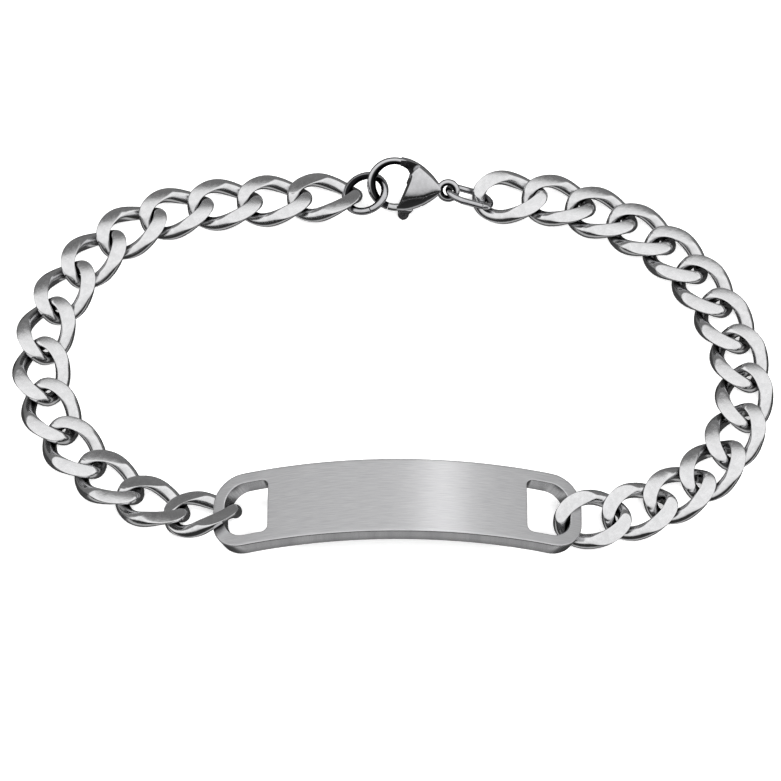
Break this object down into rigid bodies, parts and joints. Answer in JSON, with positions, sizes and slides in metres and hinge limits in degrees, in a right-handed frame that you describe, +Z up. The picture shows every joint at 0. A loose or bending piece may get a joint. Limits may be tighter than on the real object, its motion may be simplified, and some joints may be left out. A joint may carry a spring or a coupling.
{
  "type": "id bracelet",
  "caption": "Identity bracelet: an arched plain plate between two runs of flat-ground curb chain, closed by a lobster clasp with a sprung lever.",
  "frame": {"origin": "centre of the bracelet's bounding box, on the surface it lies on", "axes": "+X along the plate towards the right-hand chain, +Y from the plate to the clasp, +Z up"},
  "size_m": [0.091, 0.0546, 0.0073],
  "materials": {
    "plate_steel": "lengthwise brushed face, satin edges",
    "link_steel": "polished stainless steel, faces ground flat",
    "ring_steel": "polished stainless steel wire",
    "clasp_steel": "mirror polished casting",
    "pin_steel": "cut end of a drawn pin"
  },
  "bodies": {
    "bracelet": {"plate": "plate_steel", "left_link_01": "link_steel", "left_link_02": "link_steel", "left_link_03": "link_steel", "left_link_04": "link_steel", "left_link_05": "link_steel", "left_link_06": "link_steel", "left_link_07": "link_steel", "left_link_08": "link_steel", "left_link_09": "link_steel", "left_link_10": "link_steel", "left_link_11": "link_steel", "left_link_12": "link_steel", "left_link_13": "link_steel", "left_link_14": "link_steel", "right_link_01": "link_steel", "right_link_02": "link_steel", "right_link_03": "link_steel", "right_link_04": "link_steel", "right_link_05": "link_steel", "right_link_06": "link_steel", "right_link_07": "link_steel", "right_link_08": "link_steel", "right_link_09": "link_steel", "right_link_10": "link_steel", "right_link_11": "link_steel", "right_link_12": "link_steel", "right_link_13": "link_steel", "right_link_14": "link_steel", "round_ring": "ring_steel", "oval_ring": "ring_steel", "clasp_body": "clasp_steel", "clasp_pin": "pin_steel"},
    "lever": {"clasp_lever": "clasp_steel"}
  },
  "joints": [
    {"name": "lever_swing", "type": "hinge", "parent": "bracelet", "child": "lever", "pos_m": [0.00287, 0.02307, 0.00217], "axis": [0.0786, 0.7278, -0.6813], "range_deg": [0, 20], "stiffness_Nm_per_rad": 0.004, "springref_deg": -17.19}
  ]
}
